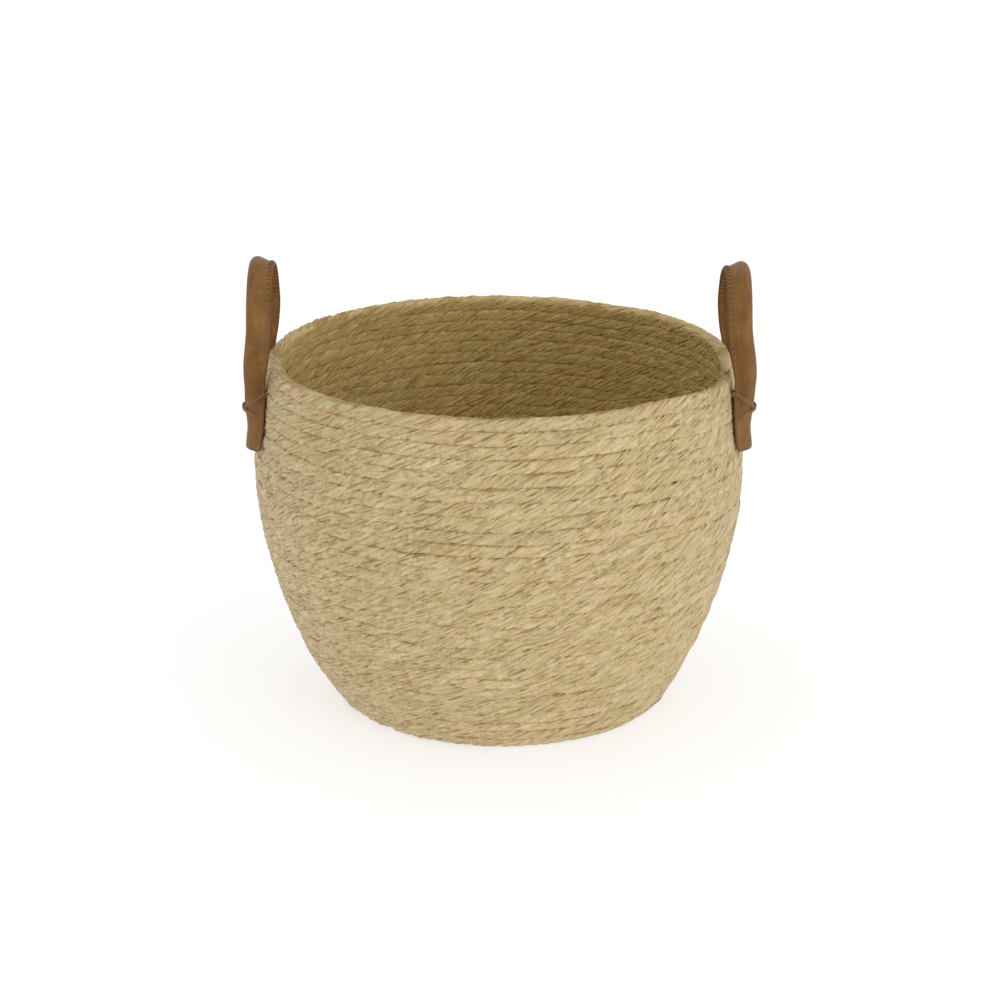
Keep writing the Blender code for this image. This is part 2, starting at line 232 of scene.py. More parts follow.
def hand_made(place):
    """Slow unevenness of a wall shaped by hand, shared by neighbouring courses."""
    angle = np.arctan2(place[:, 1], place[:, 0])
    height = place[:, 2]
    wave = 0.5 * np.sin(2 * angle + 9 * height + 0.6) + 0.35 * np.sin(3 * angle - 17 * height + 2.1)
    wave += 0.25 * np.sin(5 * angle + 31 * height + 4.0)
    return 0.0011 * wave * smoothstep(height, 0.01, 0.08) * (1 - smoothstep(height, 0.18, 0.23))


def rope_rings():
    """All the rope's vertices, ring by ring, with the values that its material reads."""
    place, normal, u, run = rope_path()
    tangent = np.gradient(place, axis=0)
    tangent /= np.linalg.norm(tangent, axis=1)[:, None]
    normal -= tangent * np.sum(normal * tangent, axis=1)[:, None]
    normal /= np.linalg.norm(normal, axis=1)[:, None]
    across = np.cross(tangent, normal)
    place = place + normal * hand_made(place)[:, None]
    wobble = drift(run, 0.055, 2) * PATH_DRIFT
    place = place + normal * wobble[:, :1] + across * wobble[:, 1:] * 0.7

    count = BLADES * BLADE_POINTS
    column = np.arange(count)
    blade = column // BLADE_POINTS
    share = (column % BLADE_POINTS) / BLADE_POINTS
    crest = np.sin(math.pi * share) ** 0.6
    around = 2 * math.pi * column / count

    edges = drift(run, 0.014, BLADES) * BLADE_WIDTH_DRIFT
    shifted = mix(edges[:, blade], edges[:, (blade + 1) % BLADES], share)
    slip = drift(run, 0.07)[:, 0] * LEAD_DRIFT
    angle = around + shifted * (2 * math.pi / BLADES) - (2 * math.pi * run / LEAD + slip)[:, None]
    rise = drift(run, 0.013, BLADES)[:, blade]
    ripple = drift(run, 0.006, count)
    girth = 1 + (drift(run, 0.10) + drift(run, 0.03)) * THICKNESS_DRIFT * 0.5
    parted = np.clip(drift(run, 0.006, BLADES) - 0.3, 0, 1.6)
    open_here = mix(parted[:, blade], parted[:, (blade + 1) % BLADES], (share > 0.5).astype(float))
    depth = GROOVE + GROOVE_OPEN * open_here
    corner = (np.abs(np.cos(angle)) ** SQUARENESS + np.abs(np.sin(angle)) ** SQUARENESS) ** (-1 / SQUARENESS)
    left = run[-1] - run
    taper = np.sqrt(smoothstep(left, -0.002, TAIL_LENGTH)) * np.sqrt(smoothstep(run, -0.002, 0.003))
    spill = np.clip(drift(run, 0.010, BLADES)[:, blade], -1.0, 1.8) * BLADE_SPILL
    size = corner * (1 - depth * (1 - crest)) * girth
    size = size + (rise * BLADE_RISE * crest + ripple * SURFACE_RISE) / ROPE_RADIUS
    size = size * taper[:, None]
    top = smoothstep(u, -5, -2)[:, None]
    out = (size * np.cos(angle) * OUT_HALF)[..., None] * normal[:, None, :]
    width = (ACROSS_HALF - TOP_ROUNDER * top) * (1 + spill * (1 - 0.6 * top))
    side = (size * np.sin(angle) * width)[..., None] * across[:, None, :]
    vertices = place[:, None, :] + out + side
    vertices[..., 2] = np.maximum(vertices[..., 2], 0.0001)

    tone = drift(run, 0.030, BLADES)[:, blade] * 0.65 + drift(run, 0.05)[:, :1] * 0.4
    tint = drift(run, 0.028, BLADES)[:, blade] * 0.6 + drift(run, 0.07)[:, :1] * 0.6
    # Painted shade: darkens the grooves between blades, more where blades part, and the seams where
    # neighbouring courses meet.
    groove_shade = (1 - crest) * (0.35 + 0.9 * open_here)
    beside = np.abs(size * np.sin(angle)) * width / (PITCH / 2)
    broken = np.clip(drift(run, 0.016)[:, :1] + 0.3 * top, 0, 1.5)
    groove_shade = np.maximum(groove_shade, smoothstep(beside, 0.80, 0.96) * broken)
    # Painted shade: marks the side of each course that faces into the basket, which the material darkens and
    # warms for the shade inside.
    inside = smoothstep(-np.cos(angle), -0.1, 0.5)
    fibre = np.stack(
        [
            np.broadcast_to(run[:, None], tone.shape),
            np.broadcast_to(ROPE_RADIUS * np.cos(around), tone.shape),
            np.broadcast_to(ROPE_RADIUS * np.sin(around), tone.shape),
        ],
        axis=-1,
    )
    values = {"tone": tone, "tint": tint, "groove_shade": groove_shade, "inside": inside}
    return vertices, values, fibre, u, place


def tube_object(name, vertices, values, fibre):
    """A tube through rings of vertices, closed at both ends."""
    rings, count = vertices.shape[:2]
    first = np.arange(count)
    after = (first + 1) % count
    base = (np.arange(rings - 1) * count)[:, None]
    quads = np.stack([base + first, base + after, base + count + after, base + count + first], axis=-1)
    quads = quads.reshape(-1, 4)
    mesh = bpy.data.meshes.new(name)
    corners = len(quads) * 4 + 2 * count
    mesh.vertices.add(rings * count)
    mesh.vertices.foreach_set("co", vertices.reshape(-1).astype(np.float32))
    mesh.loops.add(corners)
    caps = np.concatenate([first[::-1], (rings - 1) * count + first])
    mesh.loops.foreach_set("vertex_index", np.concatenate([quads.reshape(-1), caps]).astype(np.int32))
    mesh.polygons.add(len(quads) + 2)
    starts = np.concatenate([np.arange(len(quads)) * 4, len(quads) * 4 + np.array([0, count])])
    mesh.polygons.foreach_set("loop_start", starts.astype(np.int32))
    mesh.update(calc_edges=True)
    for label, array in values.items():
        layer = mesh.attributes.new(label, "FLOAT", "POINT")
        layer.data.foreach_set("value", np.ascontiguousarray(array, dtype=np.float32).reshape(-1))
    layer = mesh.attributes.new("fibre", "FLOAT_VECTOR", "POINT")
    layer.data.foreach_set("vector", np.ascontiguousarray(fibre, dtype=np.float32).reshape(-1))
    mesh.shade_smooth()
    obj = bpy.data.objects.new(name, mesh)
    bpy.context.scene.collection.objects.link(obj)
    return obj


def make_rope(material):
    """The whole rope, in pieces that stand for the three CAD stretches."""
    vertices, values, fibre, u, place = rope_rings()
    foot = int(np.argmax(place[:, 2] > ROPE_RADIUS + 0.0005))
    top = int(np.argmax(u > -1.0))
    cuts = [("base_spiral", 0, foot), ("wall_coil", foot, top), ("rim_course", top, len(u) - 1)]
    for node, start, end in cuts:
        parts = max(1, math.ceil((end - start) / ROPE_PIECE_RINGS))
        edges = np.linspace(start, end, parts + 1).astype(int)
        for k in range(parts):
            name = f"{node}_rope" if parts == 1 else f"{node}_rope_{k + 1}"
            rows = slice(edges[k], edges[k + 1] + 1)
            piece = tube_object(name, vertices[rows], {a: v[rows] for a, v in values.items()}, fibre[rows])
            piece.data.materials.append(material)
            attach(piece, "basket")
            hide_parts(node)


# ---- the handles ----


def wall_side(height, distance):
    """The wall's radius at a height, at a distance from its surface."""
    lengths, points, normals = meridian()
    surface = points + normals * ROPE_RADIUS
    wall = lengths > WALL_CURVE[0][0] + 0.02
    return np.interp(height, surface[wall, 1], surface[wall, 0]) + distance


def wall_sag(side):
    """How far the round wall falls away at a distance to the side."""
    return side**2 / (2 * WALL_RADIUS)


def strap_stations(side):
    """The strip from its front end over the arch to its rear end: middle, two axes, curl, half width."""
    top = ARCH_TOP[side] - ROLL_RADIUS
    corner = TAB_LOW_Z + TAB_CORNER * (1 - np.cos(np.linspace(0, math.pi / 2, CORNER_STEPS)))
    leg = np.concatenate([corner[:-1], np.arange(corner[-1], ARCH_START_Z, STRIP_STEP)])
    turn = np.linspace(0, math.pi / 2, ARCH_STEPS)
    rise = top - ARCH_START_Z
    height = np.concatenate([leg, ARCH_START_Z + rise * np.sin(turn)])
    y = np.concatenate([np.full(len(leg), -LEG_Y), -LEG_Y * np.cos(turn)])
    across_y = np.concatenate([np.full(len(leg), -1.0), -np.cos(turn) * rise])
    across_z = np.concatenate([np.zeros(len(leg)), np.sin(turn) * LEG_Y])
    across = unit(np.column_stack([np.zeros(len(height)), across_y, across_z]))

    spread = math.asin(LEG_Y / wall_side(TAB_HIGH_Z, 0.0))
    yaw = -spread * (1 - smoothstep(height, *TURN_Z))
    across = np.column_stack(
        [
            across[:, 0] * np.cos(yaw) - across[:, 1] * np.sin(yaw),
            across[:, 0] * np.sin(yaw) + across[:, 1] * np.cos(yaw),
            across[:, 2],
        ]
    )
    wide = mix(TAB_HALF_WIDTH, strip_half(), smoothstep(height, *WIDEN_Z))
    rolled = np.column_stack([smoothstep(height, *CURL_Z), smoothstep(height, *EDGE_CURL_Z)])
    curl = mix(TAB_CURL, 1.0, rolled)
    sides, deeps, _, _ = strip_section(wide, curl)
    depth = -deeps[:, -1] - wall_sag(sides[:, -1])

    swell = CROWN_SWELL * (1 - smoothstep(height, *SWELL_Z))
    upright = CROWN_OUT[side] + swell - LEATHER / 2
    lift = TAB_LIFT * (1 - smoothstep(height, TAB_LOW_Z, TAB_LIFT_Z))
    on_wall = wall_side(height, TAB_GAP + LEATHER / 2 + lift) + depth
    share = smoothstep(height, *CROWN_Z)
    x = mix(on_wall * math.cos(spread), upright, share)
    y = np.where(height < ARCH_START_Z, mix(-on_wall * math.sin(spread), -LEG_Y, share), y)
    middle = np.column_stack([x, y, height])

    low = np.clip(height - TAB_LOW_Z, 0, TAB_CORNER)
    rounding = TAB_CORNER - np.sqrt(low * (2 * TAB_CORNER - low))
    half = wide - rounding
    thick = LEATHER * mix(0.55, 1.0, smoothstep(height, TAB_LOW_Z, TAB_LOW_Z + 0.0012))

    back = slice(-2, None, -1)
    mirrored = middle[back] * (1, -1, 1)
    middle = np.vstack([middle, mirrored])
    across = np.vstack([across, across[back] * (1, -1, 1)])
    half, curl, thick = (np.concatenate([a, a[back]]) for a in (half, curl, thick))
    run = run_along(middle)
    middle[:, 0] += drift(run, 0.05)[:, 0] * STRAP_WOBBLE * curl[:, 0]
    middle[:, 1:] += across[:, 1:] * drift(run, 0.06) * STRAP_WOBBLE * curl[:, :1]
    along = unit(np.gradient(middle, axis=0))
    out = unit(np.cross(along, across))
    out *= np.sign(out[:, :1])
    across = unit(across - along * np.sum(across * along, axis=1)[:, None])
    return middle, across, out, half, curl, thick, run


def strip_half():
    """Half the strip's width: round the roll, its flat side, the bend and the sewn edge."""
    return ROLL_NEUTRAL * (math.pi / 2 + ROLL_CLOSE) + STRAIGHT + COUNTER_RADIUS * ROLL_CLOSE + FLANGE


def strip_turn(length, curl):
    """The strip's direction at a length from its crown, in radians, as rolled as its curl says."""
    most = (math.pi / 2 + ROLL_CLOSE) * curl[:, :1]
    first = ROLL_NEUTRAL * (math.pi / 2 + ROLL_CLOSE)
    second = first + STRAIGHT * curl[:, 1:]
    rising = length / first * most
    falling = most - (length - second) / COUNTER_RADIUS
    last = np.maximum(falling, np.minimum(math.pi / 2 * curl[:, 1:], most))
    return np.where(length < first, rising, np.where(length < second, most, last))


def strip_section(half, curl):
    """For each station, places and directions of the strip's middle line from crown to edge."""
    fine = STRIP_FINE_STEPS
    share = np.linspace(0, 1, fine + 1)
    length = half[:, None] * share
    turn = strip_turn(length, curl)
    between = (turn[:, 1:] + turn[:, :-1]) / 2
    step = (half / fine)[:, None]
    zero = np.zeros((len(half), 1))
    side = np.hstack([zero, np.cumsum(np.cos(between) * step, axis=1)])
    deep = np.hstack([zero, np.cumsum(-np.sin(between) * step, axis=1)])
    pick = np.round(np.linspace(0, fine, STRIP_POINTS)).astype(int)
    return side[:, pick], deep[:, pick], turn[:, pick], length[:, pick]


def strap_rings(stations):
    """The closed outline of the leather at each station, and what its material reads."""
    middle, across, out, half, curl, thick, run = stations
    side, deep, turn, length = strip_section(half, curl)
    signed = ((side, -1), (deep, 1), (turn, -1), (length, -1))
    both = [np.hstack([sign * a[:, :0:-1], a]) for a, sign in signed]
    side, deep, turn, length = both
    half_thick = (thick / 2)[:, None]
    normal_side, normal_out = np.sin(turn), np.cos(turn)
    outer = (side + normal_side * half_thick, deep + normal_out * half_thick)
    inner = (side - normal_side * half_thick, deep - normal_out * half_thick)
    rounds = []
    for end, sign in ((-1, 1), (0, -1)):
        bends = np.radians([55, 0, -55])
        bends = bends if sign > 0 else bends[::-1]
        push = half_thick * np.cos(bends)
        level = half_thick * np.sin(bends)
        edge_side = side[:, end, None] + sign * np.cos(turn[:, end, None]) * push
        edge_side = edge_side + normal_side[:, end, None] * level
        edge_deep = deep[:, end, None] - sign * np.sin(turn[:, end, None]) * push
        edge_deep = edge_deep + normal_out[:, end, None] * level
        rounds.append((edge_side, edge_deep))
    ring_side = np.hstack([outer[0], rounds[0][0], inner[0][:, ::-1], rounds[1][0]])
    ring_deep = np.hstack([outer[1], rounds[0][1], inner[1][:, ::-1], rounds[1][1]])
    points = middle[:, None, :] + ring_side[..., None] * across[:, None, :]
    points = points + ring_deep[..., None] * out[:, None, :]
    count = outer[0].shape[1]
    rim = np.ones((len(run), 3))
    edge_length = [length[:, -1:] * rim, length[:, :1] * rim]
    lengthwise = np.hstack([length, edge_length[0], length[:, ::-1], edge_length[1]])
    near = 1 - smoothstep(half[:, None] - np.abs(lengthwise), 0.0002, 0.0016)
    flesh = np.hstack([np.zeros((len(run), count)), 0.5 * rim, np.ones((len(run), count)), 0.5 * rim])
    hide = np.stack([np.broadcast_to(run[:, None], lengthwise.shape), lengthwise, flesh * 0.02], axis=-1)
    ends = np.minimum(run, run[-1] - run)[:, None]
    near = np.maximum(near, (1 - smoothstep(ends, 0.0002, 0.0016)) * np.ones_like(near))
    return points, {"edge": near, "flesh": flesh}, hide


def make_strap(side, materials):
    """The strip of one handle, its cord, its stitches and its lacings."""
    stations = strap_stations(side)
    points, values, hide = strap_rings(stations)
    flip = -1.0 if side == "left" else 1.0
    facing = np.array([flip, flip, 1.0])
    strap = tube_object(f"{side}_handle_strap", points * facing, values, hide)
    strap.data.materials.append(materials["leather"])
    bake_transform(strap)
    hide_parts(f"{side}_handle_grip", f"{side}_front_tab", f"{side}_rear_tab")
    make_cord(side, stations, facing, materials["cord"])
    make_stitches(side, stations, facing, materials["thread"])
    for place in ("front", "rear"):
        make_lacing(side, place, stations, facing, materials["thread"])


def thread_rings(path, radius, sides, guide, closed=False):
    """Rings round a path, each square to it."""
    if closed:
        along = unit(np.roll(path, -1, axis=0) - np.roll(path, 1, axis=0))
    else:
        along = unit(np.gradient(path, axis=0))
    guide = unit(guide - along * np.sum(guide * along, axis=1)[:, None])
    other = np.cross(along, guide)
    angle = 2 * math.pi * np.arange(sides) / sides
    circle = guide[:, None, :] * np.cos(angle)[None, :, None]
    circle = circle + other[:, None, :] * np.sin(angle)[None, :, None]
    run = run_along(path)
    around = np.stack(
        [
            np.broadcast_to(run[:, None], (len(run), sides)),
            np.broadcast_to(np.cos(angle), (len(run), sides)),
            np.broadcast_to(np.sin(angle), (len(run), sides)),
        ],
        axis=-1,
    )
    reach = np.broadcast_to(np.asarray(radius, dtype=float).reshape(-1, 1), (len(run), 1))
    return path[:, None, :] + circle * reach[..., None], around


def make_cord(side, stations, facing, material):
    """The cord that the strap is rolled round."""
    middle, across, out, half, curl, thick, run = stations
    rolled = middle[:, 2] > CORD_START_Z
    path = middle[rolled] - out[rolled] * ROLL_NEUTRAL
    radius = np.full(len(path), CORD_RADIUS)
    radius[[0, -1]] *= 0.6
    rings, around = thread_rings(path, radius, 24, out[rolled])
    cord = tube_object(f"{side}_handle_cord", rings * facing, {}, around)
    cord.data.materials.append(material)
    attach(cord, f"{side}_handle")
    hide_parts(f"{side}_handle_core")


def make_stitches(side, stations, facing, material):
    """Short threads across both faces of the sewn edges."""
    middle, across, out, half, curl, thick, run = stations
    side_far, deep_far, _, _ = strip_section(half, curl)
    sewn = np.where(middle[:, 2] > SEWN_START_Z)[0]
    places = np.arange(run[sewn[0]], run[sewn[-1]], STITCH_PITCH)
    pick = np.column_stack([np.interp(places, run, column) for column in (*middle.T, *across.T, *out.T)])
    centre, over, outward = pick[:, :3], unit(pick[:, 3:6]), unit(pick[:, 6:])
    edge = np.interp(places, run, deep_far[:, -1]) - LEATHER / 2
    along = unit(np.gradient(centre, axis=0))
    pieces, arounds = [], []
    steps = np.linspace(0, 1, 9)
    for k in range(len(places)):
        for face in (-1, 1):
            slant = rng.normal() * 0.00025
            length = STITCH_LENGTH * (1 + rng.normal() * 0.05)
            depth = edge[k] + STITCH_BORDER + length * steps
            proud = LEATHER + STITCH_RADIUS * (np.sin(math.pi * steps) ** 0.5 * 1.5 - 0.75)
            path = centre[k] + outward[k] * depth[:, None] + over[k] * (face * proud)[:, None]
            path = path + along[k] * (slant * (steps - 0.5) * 2)[:, None]
            rings, around = thread_rings(path, STITCH_RADIUS, 8, np.tile(along[k], (9, 1)))
            pieces.append(rings)
            arounds.append(around)
    seam = joined_tubes(f"{side}_handle_stitches", [p * facing for p in pieces], arounds)
    seam.data.materials.append(material)
    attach(seam, f"{side}_handle")
    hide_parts(f"{side}_handle_seam")


def joined_tubes(name, tubes, arounds):
    """Several tubes as one object."""
    objects = [tube_object(f"{name}_{k}", t, {}, a) for k, (t, a) in enumerate(zip(tubes, arounds))]
    bm = bmesh.new()
    for obj in objects:
        bm.from_mesh(obj.data)
        mesh = obj.data
        bpy.data.objects.remove(obj)
        bpy.data.meshes.remove(mesh)
    joined = bpy.data.meshes.new(name)
    bm.to_mesh(joined)
    bm.free()
    joined.shade_smooth()
    result = bpy.data.objects.new(name, joined)
    bpy.context.scene.collection.objects.link(result)
    return result


def over_strap(stations, rows, start, end, lift, steps=LACE_STEPS):
    """A line over the strap's outside, from (side, height) to (side, height), as shares of its width."""
    middle, across, out, half, curl, thick, run = stations
    share = np.linspace(0, 1, steps)
    height = mix(start[1], end[1], share)
    place = mix(start[0], end[0], share)
    sides, deeps, turns, lengths = strip_section(half[rows], curl[rows])
    heights = middle[rows, 2]
    order = np.argsort(heights)
    column = np.linspace(0, 1, STRIP_POINTS)

    def at_height(values):
        return np.array([np.interp(h, heights[order], values[order]) for h in height])

    def on_strip(table):
        per_column = np.stack([at_height(table[:, k]) for k in range(STRIP_POINTS)], axis=1)
        return np.array([np.interp(abs(p), column, per_column[k]) for k, p in enumerate(place)])

    side, deep, turn = on_strip(sides), on_strip(deeps), on_strip(turns)
    side, turn = side * np.sign(place), turn * np.sign(place)
    axes = [np.stack([at_height(a[rows][:, k]) for k in range(3)], axis=1) for a in (middle, across, out)]
    centre, over, outward = axes[0], unit(axes[1]), unit(axes[2])
    reach = LEATHER / 2 + lift
    side = side + np.sin(turn) * reach
    deep = deep + np.cos(turn) * reach
    return centre + over * side[:, None] + outward * deep[:, None]


def beside_strap(stations, rows, sign, height, distance):
    """A point beside the strap's edge at a height, at a distance off the wall's surface."""
    edge = over_strap(stations, rows, (sign, height), (sign, height), 0.0, 2)[0]
    angle = math.atan2(edge[1], edge[0])
    radius = wall_side(height, distance)
    return np.array([radius * math.cos(angle), radius * math.sin(angle), height])


def make_lacing(side, place, stations, facing, material):
    """A thread laced twice over the strap and into the wall, crossing on the strap's crown."""
    middle = stations[0]
    rows = np.where((middle[:, 1] < 0) == (place == "front"))[0]
    rows = rows[middle[rows, 2] < LACE_LOOK_Z]
    loops = []
    for turn in range(LACE_TURNS):
        shift = (turn - (LACE_TURNS - 1) / 2) * LACE_SPACING
        low, high = LACE_Z[0] + shift, LACE_Z[1] + shift
        lift = LACE_RADIUS
        low_in = LACE_LOW_SHARE
        beyond = (np.linspace(0, 1, LACE_STEPS) - low_in / (1 + low_in)) / LACE_HUMP_SHARE
        humped = lift + LACE_RADIUS * LACE_HUMP * np.exp(-(beyond**4))
        first = over_strap(stations, rows, (-low_in, low), (1, high), lift)
        second = over_strap(stations, rows, (low_in, low), (-1, high), humped)
        inside = -LACE_INSIDE * ROPE_RADIUS
        near = LACE_RADIUS
        points = []
        for strand, hand in ((first, 1), (second, -1)):
            stops = (
                (hand, high, near),
                (hand, high, inside),
                (hand * low_in, low, inside),
                (hand * low_in, low, near),
            )
            points += [*strand, *(beside_strap(stations, rows, *stop) for stop in stops)]
        path = smooth_loop(np.array(points), 0.0008, 2)
        guide = path - path.mean(axis=0) + np.array([0.0, 0.0, 0.003])
        rings, around = thread_rings(path, LACE_RADIUS, 10, unit(guide), closed=True)
        rings = np.concatenate([rings, rings[:1]])
        around = np.concatenate([around, around[:1] + [0.001, 0, 0]])
        loops.append((rings * facing, around))
    lacing = joined_tubes(f"{side}_{place}_lacing", [r for r, _ in loops], [a for _, a in loops])
    lacing.data.materials.append(material)
    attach(lacing, "basket")
    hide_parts(f"{side}_{place}_lashing")


def smooth_loop(points, step, passes):
    """A closed line at even steps, with its corners rounded off."""
    closed = np.vstack([points, points[:1]])
    run = run_along(closed)
    count = int(run[-1] / step)
    even = np.linspace(0, run[-1], count, endpoint=False)
    path = np.column_stack([np.interp(even, run, column) for column in closed.T])
    for _ in range(passes):
        path = (np.roll(path, 1, axis=0) + 2 * path + np.roll(path, -1, axis=0)) / 4
    return path


# ---- materials ----


class Nodes:
    """A short way to write a node tree."""

    def __init__(self, name):
        self.material = bpy.data.materials.new(name)
        self.material.use_nodes = True
        self.tree = self.material.node_tree
        self.shader = self.tree.nodes["Principled BSDF"]

    def add(self, kind, settings=None, **inputs):
        node = self.tree.nodes.new(kind)
        for key, value in (settings or {}).items():
            setattr(node, key, value)
        for key, value in inputs.items():
            self.put(node, key.replace("_", " "), value)
        return node

    def put(self, node, key, value):
        socket = node.inputs[int(key)] if key.isdigit() else node.inputs[key]
        if isinstance(value, bpy.types.NodeSocket):
            self.tree.links.new(value, socket)
        else:
            socket.default_value = value

    def attribute(self, name, output="Fac"):
        return self.add("ShaderNodeAttribute", {"attribute_name": name}).outputs[output]

    def noise(self, vector, scale, detail=3.0, roughness=0.55):
        node = self.add("ShaderNodeTexNoise", Vector=vector, Scale=scale, Detail=detail, Roughness=roughness)
        return node.outputs["Fac"]

    def scaled(self, vector, factors):
        node = self.add("ShaderNodeVectorMath", {"operation": "MULTIPLY"})
        self.tree.links.new(vector, node.inputs[0])
        node.inputs[1].default_value = factors
        return node.outputs["Vector"]

    def math(self, operation, first, second=0.0, clamp=False):
        node = self.add("ShaderNodeMath", {"operation": operation, "use_clamp": clamp})
        self.put(node, "0", first)
        self.put(node, "1", second)
        return node.outputs[0]

    def ramp(self, factor, *stops):
        node = self.add("ShaderNodeValToRGB", Fac=factor)
        points = node.color_ramp.elements
        while len(points) < len(stops):
            points.new(0.5)
        for point, (position, colour) in zip(points, stops):
            point.position = position
            point.color = (*colour, 1.0) if isinstance(colour, tuple) else (colour, colour, colour, 1.0)
        return node.outputs["Color"]

    def blend(self, factor, first, second, mode="MIX"):
        node = self.add("ShaderNodeMix", {"data_type": "RGBA", "blend_type": mode})
        for socket, value in ((node.inputs[0], factor), (node.inputs[6], first), (node.inputs[7], second)):
            if isinstance(value, bpy.types.NodeSocket):
                self.tree.links.new(value, socket)
            elif isinstance(value, tuple):
                socket.default_value = (*value, 1.0)
            else:
                socket.default_value = value
        return node.outputs[2]

    def bump(self, height, distance, strength=1.0, normal=None):
        node = self.add("ShaderNodeBump", Height=height, Distance=distance, Strength=strength)
        if normal is not None:
            self.tree.links.new(normal, node.inputs["Normal"])
        return node.outputs["Normal"]


def seagrass_material():
    """Dried seagrass: straw-coloured blades with green and pink casts and fine fibres, with painted shade
    darkening the grooves, the seams between courses and the basket's inner faces.
    """
    n = Nodes("seagrass_rope")
    fibre = n.attribute("fibre", "Vector")
    tone = n.attribute("tone")
    tint = n.attribute("tint")
    groove_shade = n.attribute("groove_shade")
    streaks = n.noise(n.scaled(fibre, (0.16, 1.0, 1.0)), 1500, 4.0, 0.65)
    strands = n.noise(n.scaled(fibre, (0.12, 1.0, 1.0)), 560, 2.0, 0.5)
    flecks = n.noise(n.scaled(fibre, (0.42, 1.0, 1.0)), 520, 2.0, 0.6)
    fuzz = n.noise(n.scaled(fibre, (0.7, 1.0, 1.0)), 950, 2.0, 0.6)
    mixed = n.math("ADD", n.math("MULTIPLY", tone, 0.07), strands)
    straw = n.ramp(
        mixed,
        (0.20, (0.40, 0.285, 0.125)),
        (0.42, (0.53, 0.405, 0.205)),
        (0.60, (0.60, 0.475, 0.260)),
        (0.85, (0.69, 0.575, 0.350)),
    )
    greenish = n.math("MULTIPLY", n.math("SUBTRACT", tint, 0.35, clamp=True), 0.32, clamp=True)
    pinkish = n.math("SUBTRACT", n.math("MULTIPLY", tint, -1.0), 0.45, clamp=True)
    cast = n.blend(greenish, straw, (0.50, 0.47, 0.25))
    cast = n.blend(n.math("MULTIPLY", pinkish, 0.35), cast, (0.64, 0.45, 0.29))
    fleck = n.ramp(flecks, (0.33, 0.66), (0.47, 1.0), (0.70, 1.08))
    cast = n.blend(0.8, cast, fleck, "MULTIPLY")
    cast = n.blend(0.5, cast, n.ramp(fuzz, (0.30, 0.80), (0.62, 1.08)), "MULTIPLY")
    line = n.ramp(streaks, (0.28, 0.76), (0.55, 1.03))
    cast = n.blend(0.55, cast, line, "MULTIPLY")
    # Painted shade in the base colour: the grooves between blades and the seams between courses are
    # darkened.
    groove = n.ramp(groove_shade, (0.12, 1.0), (0.95, (0.74, 0.63, 0.46)))
    cast = n.blend(1.0, cast, groove, "MULTIPLY")
    # Painted shade in the base colour: the basket's inner faces are darkened and warmed for the shade and
    # coloured bounce light inside.
    colour = n.blend(n.attribute("inside"), cast, n.blend(1.0, cast, (0.99, 0.93, 0.69), "MULTIPLY"))
    n.tree.links.new(colour, n.shader.inputs["Base Color"])
    rough = n.math("ADD", n.math("MULTIPLY", streaks, 0.35), 0.52)
    n.tree.links.new(rough, n.shader.inputs["Roughness"])
    n.shader.inputs["Specular IOR Level"].default_value = 0.32
    n.shader.inputs["Sheen Weight"].default_value = 0.06
    n.shader.inputs["Sheen Roughness"].default_value = 0.5
    fine = n.bump(n.math("ADD", streaks, fuzz), 0.0005, 0.55)
    coarse = n.bump(n.math("ADD", strands, flecks), 0.0009, 0.7, fine)
    n.tree.links.new(coarse, n.shader.inputs["Normal"])
    return n.material


def leather_material():
    """Tan leather: fine grain, soft mottling, worn cut edges and a dull flesh side."""
    n = Nodes("rolled_leather")
    hide = n.attribute("fibre", "Vector")
    grain = n.add("ShaderNodeTexVoronoi", {"feature": "DISTANCE_TO_EDGE"}, Vector=hide, Scale=1400.0)
    mottle = n.noise(hide, 55, 4.0, 0.6)
    pulled = n.noise(n.scaled(hide, (0.12, 1.0, 1.0)), 420, 3.0, 0.6)
    colour = n.ramp(
        mottle,
        (0.30, (0.170, 0.077, 0.020)),
        (0.55, (0.230, 0.108, 0.029)),
        (0.75, (0.288, 0.143, 0.045)),
    )
    colour = n.blend(0.45, colour, n.ramp(pulled, (0.30, 0.72), (0.60, 1.12)), "MULTIPLY")
    pores = n.ramp(grain.outputs["Distance"], (0.0, 0.70), (0.12, 1.0))
    colour = n.blend(0.5, colour, pores, "MULTIPLY")
    colour = n.blend(n.math("MULTIPLY", n.attribute("edge"), 0.7), colour, (0.150, 0.066, 0.021))
    colour = n.blend(n.math("MULTIPLY", n.attribute("flesh"), 0.7), colour, (0.175, 0.080, 0.026))
    n.tree.links.new(colour, n.shader.inputs["Base Color"])
    rough = n.math("ADD", n.math("MULTIPLY", mottle, 0.3), n.math("MULTIPLY", n.attribute("flesh"), 0.3))
    n.tree.links.new(n.math("ADD", rough, 0.30), n.shader.inputs["Roughness"])
    n.shader.inputs["Specular IOR Level"].default_value = 0.2
    fine = n.bump(grain.outputs["Distance"], 0.00035, 0.5)
    n.tree.links.new(n.bump(pulled, 0.0006, 0.5, fine), n.shader.inputs["Normal"])
    return n.material


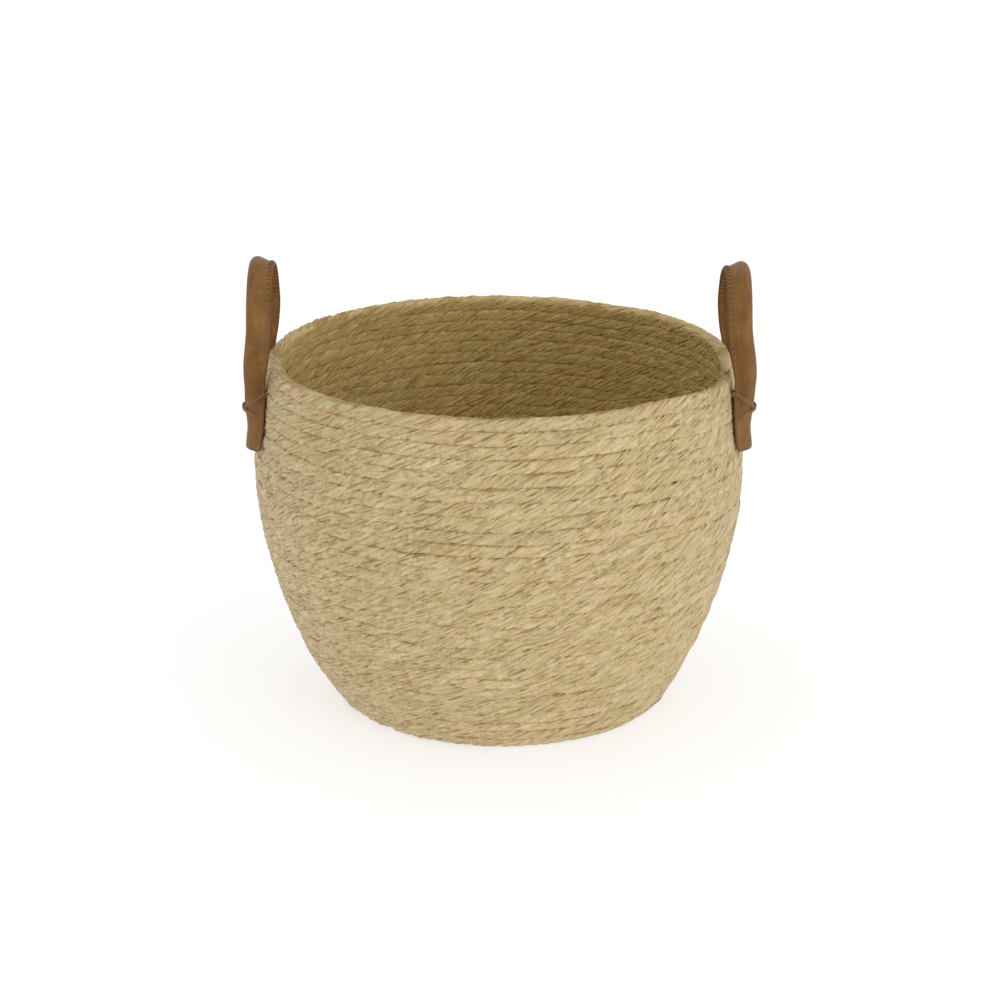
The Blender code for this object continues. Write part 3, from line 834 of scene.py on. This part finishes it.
def twisted_material(name, dark, light, plies, lead, distance, roughness):
    """Twisted yarn: strands that wind round the thread, with fuzz between them and painted shade in the
    grooves between the strands.
    """
    n = Nodes(name)
    fibre = n.attribute("fibre", "Vector")
    parts = n.add("ShaderNodeSeparateXYZ", Vector=fibre)
    angle = n.math("ARCTAN2", parts.outputs["Z"], parts.outputs["Y"])
    wound = n.math("ADD", n.math("MULTIPLY", parts.outputs["X"], 2 * math.pi / lead), angle)
    strand = n.math("SINE", n.math("MULTIPLY", wound, float(plies)))
    height = n.math("ABSOLUTE", strand)
    fuzz = n.noise(n.scaled(fibre, (1.0, 0.004, 0.004)), 900, 3.0, 0.6)
    # Painted shade: the colour darkens from the crests of the strands into the grooves between them.
    colour = n.blend(height, dark, light)
    colour = n.blend(0.5, colour, n.ramp(fuzz, (0.3, 0.7), (0.6, 1.1)), "MULTIPLY")
    n.tree.links.new(colour, n.shader.inputs["Base Color"])
    n.tree.links.new(n.math("ADD", n.math("MULTIPLY", fuzz, 0.3), roughness), n.shader.inputs["Roughness"])
    n.tree.links.new(n.bump(height, distance, 0.8), n.shader.inputs["Normal"])
    return n.material


# ---- stage ----

CAMERA_DISTANCE = 2.0
CAMERA_HEIGHT = 0.8467
CAMERA_PITCH = 0.3296
CAMERA_LENS = 91.74
CAMERA_SIDE = 0.0008
FLOOR_HALF = 30.0
FLOOR_PAINT = 0.5
FLOOR_GLOW = 0.60  # a lit table, so that hardly any shadow shows
SKY = 0.88
KEY = 0.77
KEY_DIRECTION = (0.92, -0.92, 0.16)
KEY_SPREAD = math.radians(32)


def make_stage():
    scene = bpy.context.scene
    scene.view_settings.view_transform = "Standard"
    world = bpy.data.worlds.new("studio")
    scene.world = world
    world.use_nodes = True
    world.node_tree.nodes["Background"].inputs["Color"].default_value = (1.0, 1.0, 1.0, 1.0)
    world.node_tree.nodes["Background"].inputs["Strength"].default_value = SKY

    bm = bmesh.new()
    bmesh.ops.create_grid(bm, x_segments=1, y_segments=1, size=FLOOR_HALF)
    mesh = bpy.data.meshes.new("floor")
    bm.to_mesh(mesh)
    bm.free()
    floor = bpy.data.objects.new("floor", mesh)
    scene.collection.objects.link(floor)
    paint = Nodes("floor_white")
    paint.shader.inputs["Base Color"].default_value = (FLOOR_PAINT, FLOOR_PAINT, FLOOR_PAINT, 1.0)
    paint.shader.inputs["Emission Color"].default_value = (1.0, 1.0, 1.0, 1.0)
    paint.shader.inputs["Emission Strength"].default_value = FLOOR_GLOW
    paint.shader.inputs["Roughness"].default_value = 0.9
    paint.shader.inputs["Specular IOR Level"].default_value = 0.0
    mesh.materials.append(paint.material)

    light = bpy.data.lights.new("key", "SUN")
    light.energy = KEY
    light.angle = KEY_SPREAD
    key = bpy.data.objects.new("key", light)
    key.rotation_mode = "QUATERNION"
    key.rotation_quaternion = Vector(KEY_DIRECTION).to_track_quat("Z", "Y")
    scene.collection.objects.link(key)

    camera_data = bpy.data.cameras.new("camera")
    camera_data.lens = CAMERA_LENS
    camera_data.clip_end = 200
    camera = bpy.data.objects.new("camera", camera_data)
    camera.location = (CAMERA_SIDE, -CAMERA_DISTANCE, CAMERA_HEIGHT)
    camera.rotation_euler = (math.pi / 2 - CAMERA_PITCH, 0, 0)
    scene.collection.objects.link(camera)
    scene.camera = camera


make_stage()
make_rope(seagrass_material())
handle_materials = {
    "leather": leather_material(),
    "cord": twisted_material("cotton_cord", CORD_SHADE, CORD_LIGHT, 3, 0.012, 0.0008, 0.6),
    "thread": twisted_material("waxed_yarn", YARN_SHADE, YARN_LIGHT, 1, 0.0022, 0.0002, 0.35),
}
for handle_side in ("left", "right"):
    make_strap(handle_side, handle_materials)
